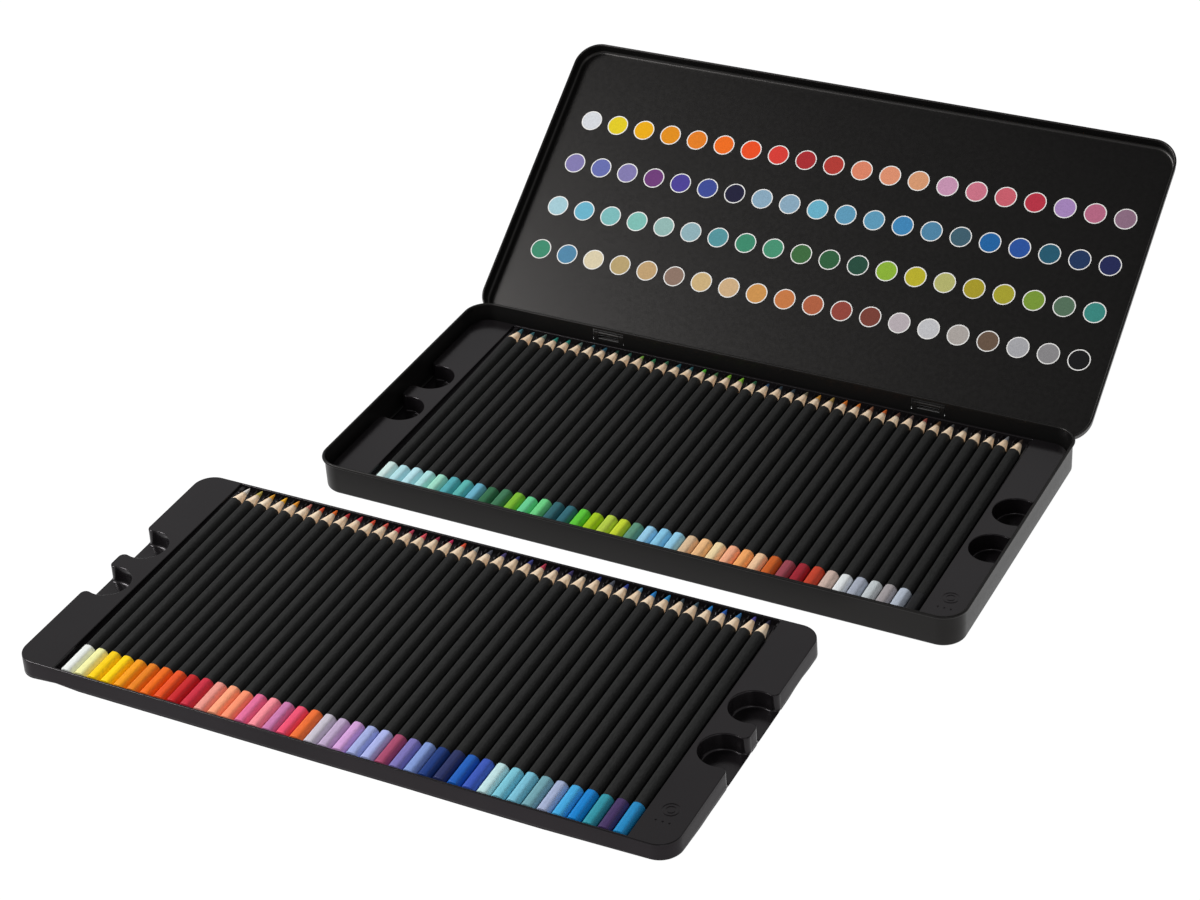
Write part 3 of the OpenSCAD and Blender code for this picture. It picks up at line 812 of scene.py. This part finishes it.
    loop = [(x, -hy, 0, -1, z) for x, z in xs]
    loop[0] = (left, -hy, -1, -1, 9.31)
    loop[-1] = (right, -hy, 1, -1, 9.31)
    loop += [(right, y, 1, 0, 9.31) for y in ys[1:-1]]
    backs = [(x, hy, 0, 1, z) for x, z in reversed(xs)]
    backs[0] = (right, hy, 1, 1, 9.31)
    backs[-1] = (left, hy, -1, 1, 9.31)
    loop += backs
    loop += [(left, y, -1, 0, 9.31) for y in reversed(ys[1:-1])]
    rw = 0.5
    wells = []
    for k in range(5):
        a = math.radians(90 * k / 4)
        o_ = rw * (1 - math.sin(a))
        wells.append(m.ring([(x + ox * o_, y + oy * o_, h - rw + rw * math.cos(a)) for x, y, ox, oy, z in loop]))
    base = m.ring([(x, y, z + lean(y)) for x, y, ox, oy, z in loop])
    wells.append(base)
    for a, b in zip(wells, wells[1:]):
        m.strip(b, a)
    m.keep_sharp(base)
    nx, ny = len(xs), len(ys)
    grid = {}
    for i in range(nx):
        grid[i, 0] = base[i]
        grid[i, ny - 1] = base[nx + (ny - 2) + (nx - 1 - i)]
    for k in range(1, ny - 1):
        grid[nx - 1, k] = base[nx + k - 1]
        grid[0, k] = base[2 * nx + (ny - 2) + (ny - 2 - k)]
    for i in range(1, nx - 1):
        for k in range(1, ny - 1):
            grid[i, k] = m.ring([(xs[i][0], ys[k], xs[i][1] + lean(ys[k]) + tooth(i, ys[k]))])[0]
    for i in range(nx - 1):
        for k in range(ny - 1):
            m.face((grid[i, k], grid[i + 1, k], grid[i + 1, k + 1], grid[i, k + 1]))
    # moulder's mark: two rings and a point, pressed into the land
    holes = []
    m.level = set(rings[0]) | set(wells[0])
    for cx, cy, radii in ((177.9, -65.6, (4.9, 4.5, 4.2, 3.8, 2.9, 2.5, 2.2, 1.8)), (177.9, -75.0, (0.9, 0.5)),
                          (174.3, -75.0, (0.9, 0.5)), (181.5, -75.0, (0.9, 0.5))):
        last = None
        for q, r in enumerate(radii):
            z = h - (0.34 if q % 4 in (1, 2) else 0.0)
            now = m.ring(circle(cx, cy, r, z, 40 if r > 1 else 16))
            if q % 4 in (0, 3):
                m.level |= set(now)
            if last is not None:
                m.strip(last, now)
            else:
                holes.append((now, [(m.v[i][0], m.v[i][1]) for i in now]))
            last = now
        m.face(last)
    # the land
    loops = [(rings[0], [(m.v[i][0], m.v[i][1]) for i in rings[0]]), (wells[0], [(m.v[i][0], m.v[i][1]) for i in wells[0]])]
    loops += holes
    ids, coords, edges = [], [], []
    for ring_ids, pts in loops:
        s = len(ids)
        ids += ring_ids
        coords += [Vector(p) for p in pts]
        edges += [(s + k, s + (k + 1) % len(pts)) for k in range(len(pts))]
    vs, es, fs, ov, oe, of_ = delaunay_2d_cdt(coords, edges, [], 0, 1e-6)
    back_to = [ids[o_[0]] for o_ in ov]
    outer = loops[0][1]
    inner = [p for _, p in loops[1:]]
    for f in fs:
        x = sum(vs[k][0] for k in f) / len(f)
        y = sum(vs[k][1] for k in f) / len(f)
        if inside(x, y, outer) and not any(inside(x, y, q) for q in inner):
            m.face([back_to[k] for k in f])
    return m


SHEET_MESH = tray_sheet()
for name, body, place in (("lower_tray", "lower_tray", in_tin), ("upper_tray", "upper_tray", on_table)):
    o = SHEET_MESH.build(name + "_formed", [PLASTIC, SKIRT], 55, place)
    turned_out(o, up=True)
    thick = o.modifiers.new("sheet", "SOLIDIFY")
    thick.thickness, thick.offset = 0.0003, -1.0
    thick.use_rim = True
    bpy.context.view_layer.objects.active = o
    depth = bpy.context.evaluated_depsgraph_get()
    done = bpy.data.meshes.new_from_object(o.evaluated_get(depth))
    o.modifiers.clear()
    o.data = done
    normals = [tuple(c.vector) for c in done.corner_normals]
    for poly in done.polygons:
        for c in poly.loop_indices:
            if done.loops[c].vertex_index in SHEET_MESH.level:
                normals[c] = (0.0, 0.0, 1.0)
    done.normals_split_custom_set(normals)
    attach(o, body)
    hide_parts(name)


# ----------------------------------------------------------------- pencils ----
def hexagon(round_r, corner_n=5, flat_n=4):
    """Outline (x, z, nx, nz) of a hexagon with rounded edges, one flat up."""
    pts = []
    ap = FLATS / 2
    far = (ap - round_r) / math.cos(math.radians(30))
    for k in range(6):
        mid = 60 * k
        c = (far * math.cos(math.radians(mid)), far * math.sin(math.radians(mid)))
        for q in range(corner_n + 1):
            a = math.radians(mid - 30 + 60 * q / corner_n)
            pts.append((c[0] + round_r * math.cos(a), c[1] + round_r * math.sin(a), math.cos(a), math.sin(a)))
        a = math.radians(mid + 30)
        c2 = (far * math.cos(math.radians(mid + 60)), far * math.sin(math.radians(mid + 60)))
        p = pts[-1]
        q_ = (c2[0] + round_r * math.cos(a), c2[1] + round_r * math.sin(a))
        for q in range(1, flat_n + 1):
            t = q / (flat_n + 1)
            pts.append((p[0] + (q_[0] - p[0]) * t, p[1] + (q_[1] - p[1]) * t, math.cos(a), math.sin(a)))
    return pts


HEX = hexagon(2.1)
DIP_HEX = hexagon(2.1)


def pencil(rng):
    """One pencil along +Y with its tail at y 0: barrel, core and dip."""
    n = len(HEX)
    tip = PENCIL_L
    r0 = 0.42
    sc = 5.1 + rng.uniform(-1.0, 1.2)
    edge = 21.6 + rng.uniform(-0.35, 0.35)
    barrel, core, dip = Mesh(), Mesh(), Mesh()

    def ring(mesh, off, y, shape=HEX):
        return mesh.ring([(x + nx * off, y, z + nz * off) for x, z, nx, nz in shape])

    def dip_ring(off, y, arch=0.0):
        return dip.ring([
            (x + nx * off, y + arch * math.cos(6 * math.atan2(z, x) - math.pi), z + nz * off)
            for x, z, nx, nz in DIP_HEX
        ])

    a = ring(barrel, 0.0, edge - 0.6)
    barrel.face(a)
    barrel.keep_sharp(a)
    b = ring(barrel, 0.0, edge + 40)
    c = ring(barrel, 0.0, tip - 60)
    d = ring(barrel, 0.0, tip - 18.2)
    # the cone cuts the six flats further forward than the six edges
    wave = [rng.uniform(-1, 1) for _ in range(6)]
    cut, along = [], []
    for q, (x, z, nx, nz) in enumerate(HEX):
        big = math.hypot(x, z)
        s = (3.56 + 0.42 * (big - 3.56) - r0) / CONE_K
        s += 0.16 * wave[(6 * q // n)] + 0.07 * math.sin(q * 2.1 + wave[0] * 6)
        cut.append((x, tip - s, z))
        along.append((x / big, z / big, s, big))
    e = barrel.ring(cut)
    for p, q in ((a, b), (b, c), (c, d), (d, e)):
        barrel.strip(p, q, 0)
    barrel.keep_sharp(e)
    last = e
    for t in (0.12, 0.4, 0.7, 1.0):
        now = []
        for ux, uz, s, big in along:
            ss = s + (sc - s) * t
            r = big + (r0 + CONE_K * sc - big) * t - 0.05 * math.sin(math.pi * t)
            now.append((ux * r, tip - ss, uz * r))
        now = barrel.ring(now)
        barrel.strip(last, now, 1)
        last = now
    barrel.face(last[::-1], 1)
    # core
    k = 20
    def disc(r, y):
        return core.ring([(r * math.cos(2 * math.pi * i / k), y, r * math.sin(2 * math.pi * i / k)) for i in range(k)])
    rc = r0 + CONE_K * sc
    tip_r = r0 * rng.uniform(0.75, 1.1)
    prof = [(rc - 0.02, tip - sc - 0.4), (rc + 0.015, tip - sc - 0.02), (rc * 0.62 + tip_r * 0.38, tip - sc * 0.62),
            (rc * 0.22 + tip_r * 0.78, tip - sc * 0.22), (tip_r * 0.92, tip - 0.42), (tip_r * 0.62, tip - 0.12),
            (tip_r * 0.25, tip)]
    rr = [disc(r, y) for r, y in prof]
    for p, q in zip(rr, rr[1:]):
        core.strip(p, q, 0)
    core.face(rr[0])
    core.face(rr[-1][::-1])
    # dip: a little thicker than the paint, rounded at the tail
    t_, er = 0.14, 0.5
    rows = []
    for q in range(6):
        a_ = math.radians(90 * q / 5)
        rows.append(dip_ring(t_ - er * (1 - math.sin(a_)), -0.12 + er * (1 - math.cos(a_)) * 0.85))
    rows.append(dip_ring(t_, edge - 0.9, 0.05))
    rows.append(dip_ring(t_ * 0.72, edge - 0.22, 0.08))
    rows.append(dip_ring(-0.22, edge, 0.08))
    for p, q in zip(rows, rows[1:]):
        dip.strip(p, q, 0)
    centre = dip.ring([(0.0, -0.20, 0.0)])[0]
    first = rows[0]
    for i in range(n):
        dip.face((centre, first[(i + 1) % n], first[i]))
    dip.face(rows[-1][::-1])
    return barrel, core, dip


rng = random.Random(4080)
for family, first, last, tray in FAMILIES:
    place = in_tin if tray else on_table
    names = LOWER if tray else UPPER
    parts = [Mesh(), Mesh(), Mesh()]
    dips, cores = [], []
    for i in range(first, last + 1):
        made = pencil(rng)
        x0 = ROW_X + (i - (COUNT + 1) / 2) * PITCH + rng.uniform(-0.05, 0.05)
        y0 = TAIL_Y - 0.1 + rng.uniform(-0.25, 0.45)
        yaw = rng.uniform(-0.0004, 0.0004)

        def lay(p, x0=x0, y0=y0, yaw=yaw):
            y = y0 + p[1] + yaw * p[0] - LEAN * p[2]
            return place((x0 + p[0] - yaw * (p[1] - 89), y, AXIS_Z + lean(y) + p[2]))

        for k, part in enumerate(made):
            parts[k].add(part, lay, 0 if k == 0 else i - first)
        rgb = linear(C[names[i - 1]])
        dips.append(lacquer(f"lacquer_{names[i - 1]}", rgb))
        tip = (LOWER_TIPS if tray else UPPER_TIPS)[i - 1]
        cores.append(core_colour(f"core_{tip}", linear(C[tip])))
    single = family == "black"
    body = "black_pencil" if single else family + "_pencils"
    end = "" if single else "s"
    for part, kind, mats, slot in zip(parts, ("barrel", "core", "dip"), ([PAINT, WOOD], cores, dips),
                                      ("black_wood", family + "_core", family + "_lacquer")):
        o = part.build(f"{family}_{kind}{end}", mats, None)
        turned_out(o)
        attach(o, body)
        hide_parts(f"{family}_pencil_{kind}{end}")

# ------------------------------------------------------------ floor, lights ----
floor = Mesh()
f = floor.ring([(-14000, -14000, -0.02), (14000, -14000, -0.02), (14000, 14000, -0.02), (-14000, 14000, -0.02)])
floor.face(f)
look = Look("floor_white")
look.drive("Base Color", look.mix(look.noise(3.0), [0.050, 0.050, 0.050], [0.056, 0.056, 0.056]))
look.set(Roughness=0.9, Emission_Color=[1.0, 1.0, 1.0])
look.p.inputs["Emission Strength"].default_value = 0.995
look.p.inputs["Specular IOR Level"].default_value = 0.0
o = floor.build("floor", [look.mat])

world = bpy.data.worlds.new("studio")
scene.world = world
world.use_nodes = True
wt = world.node_tree
wt.nodes.clear()
coord = wt.nodes.new("ShaderNodeTexCoord")
sep = wt.nodes.new("ShaderNodeSeparateXYZ")
ramp = wt.nodes.new("ShaderNodeValToRGB")
bg = wt.nodes.new("ShaderNodeBackground")
wo = wt.nodes.new("ShaderNodeOutputWorld")
wt.links.new(coord.outputs["Generated"], sep.inputs[0])
wt.links.new(sep.outputs["Z"], ramp.inputs["Fac"])
wt.links.new(ramp.outputs["Color"], bg.inputs["Color"])
wt.links.new(bg.outputs["Background"], wo.inputs["Surface"])
tones = [(0.0, 0.42), (0.35, 0.46), (0.55, 0.66), (0.70, 0.66), (0.83, 0.10), (1.0, 0.04)]
band = ramp.color_ramp
for spot, (at, grey) in enumerate(tones):
    e = band.elements[spot] if spot < 1 else (band.elements[-1] if spot == len(tones) - 1 else band.elements.new(at))
    e.position = at
    e.color = (grey, grey, grey, 1)
bg.inputs["Strength"].default_value = 1.0


def softbox(name, at, aim, size, power, color=(1, 1, 1)):
    data = bpy.data.lights.new(name, "AREA")
    data.shape = "RECTANGLE"
    data.size, data.size_y = size
    data.energy = power
    data.color = color
    lamp = bpy.data.objects.new(name, data)
    lamp.location = at
    lamp.rotation_euler = (Vector(aim) - Vector(at)).to_track_quat("-Z", "Y").to_euler()
    scene.collection.objects.link(lamp)
    return lamp


softbox("key", (-1.50, -0.62, 1.50), (0.0, 0.0, 0.0), (0.7, 0.7), 38.0)
softbox("fill", (1.2, -1.56, 1.37), (0.0, 0.0, 0.0), (0.9, 0.9), 4.0)
softbox("edge", (-1.1, -1.35, 1.42), (0.0, 0.0, 0.0), (0.4, 0.4), 4.0)
